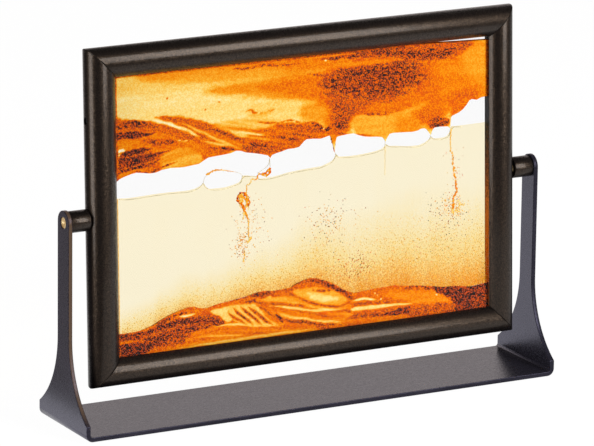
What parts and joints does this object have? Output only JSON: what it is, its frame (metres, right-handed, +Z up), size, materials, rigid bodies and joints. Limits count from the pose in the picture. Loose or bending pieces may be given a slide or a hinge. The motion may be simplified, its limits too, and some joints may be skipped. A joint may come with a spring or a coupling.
{
  "type": "moving sand art frame",
  "caption": "Glass cell of coloured sand, liquid and air bubbles in a round-bar frame that turns over on pins between the arms of a bent sheet stand.",
  "frame": {"origin": "middle of the stand on the surface that it stands on, under the pivot axis", "axes": "+X along the stand and the pivot axis, -Y towards the viewer, +Z up"},
  "size_m": [0.2842, 0.057, 0.2037],
  "materials": {
    "powder_coat": "satin",
    "foot_pad": "matte",
    "frame_bar": "satin",
    "corner_key": "satin",
    "pane": "polished",
    "spacer": "satin",
    "liquid": "gloss",
    "sand": "matte",
    "bush": "satin",
    "pin": "satin"
  },
  "bodies": {
    "stand": {"stand_bracket": "powder_coat", "foot_pad_front_left": "foot_pad", "foot_pad_front_right": "foot_pad", "foot_pad_rear_left": "foot_pad", "foot_pad_rear_right": "foot_pad"},
    "frame": {"top_rail": "frame_bar", "bottom_rail": "frame_bar", "left_stile": "frame_bar", "right_stile": "frame_bar", "corner_key_top_left": "corner_key", "corner_key_top_right": "corner_key", "corner_key_bottom_left": "corner_key", "corner_key_bottom_right": "corner_key", "front_pane": "pane", "rear_pane": "pane", "spacer_top": "spacer", "spacer_bottom": "spacer", "spacer_left": "spacer", "spacer_right": "spacer", "filler_plug": "spacer", "liquid": "liquid", "upper_sand": "sand", "lower_sand": "sand", "falling_sand": "sand", "left_bush": "bush", "right_bush": "bush", "left_pivot_pin": "pin", "right_pivot_pin": "pin"}
  },
  "joints": [
    {"name": "frame_turn", "type": "hinge", "parent": "stand", "child": "frame", "pos_m": [0, 0, 0.11303], "axis": [1, 0, 0], "continuous": true}
  ]
}
